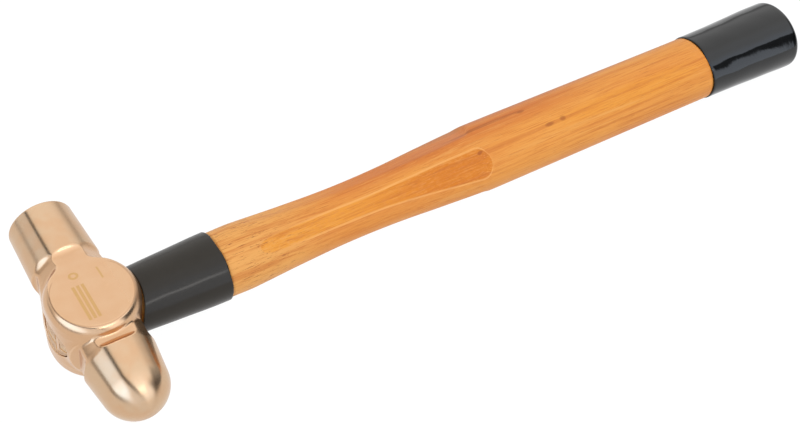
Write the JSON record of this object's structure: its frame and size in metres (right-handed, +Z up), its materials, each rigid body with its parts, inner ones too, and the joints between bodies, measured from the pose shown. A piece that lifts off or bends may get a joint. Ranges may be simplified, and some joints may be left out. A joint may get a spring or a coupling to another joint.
{
  "type": "ball-pein hammer",
  "caption": "Hand hammer with a round striking face, a ball pein and an oval hickory handle, wedged in the eye, with a rubber guard sleeve and a dipped butt.",
  "frame": {"origin": "under the middle of the hammer as it lies on its side, at the height of the lower cheek", "axes": "+X along the handle from the head to the butt, +Y from the eye towards the flat striking face, +Z up out of the upper cheek"},
  "size_m": [0.3498, 0.0938, 0.0324],
  "materials": {
    "bronze": "circumferentially brushed barrel and pein, satin cheeks and necks, thin lacquer",
    "hickory": "sanded and clear varnished, grain along the handle",
    "wedge_wood": "sawn end grain",
    "wedge_bronze": "cast, dull",
    "sleeve_rubber": "matte to satin black",
    "dip_coat": "thick glossy black dip"
  },
  "bodies": {
    "root": {"hammer_head": "bronze", "handle": "hickory", "eye_wedge": "wedge_wood", "cross_wedge_near": "wedge_bronze", "cross_wedge_far": "wedge_bronze", "overstrike_sleeve": "sleeve_rubber", "butt_dip": "dip_coat"}
  },
  "joints": []
}
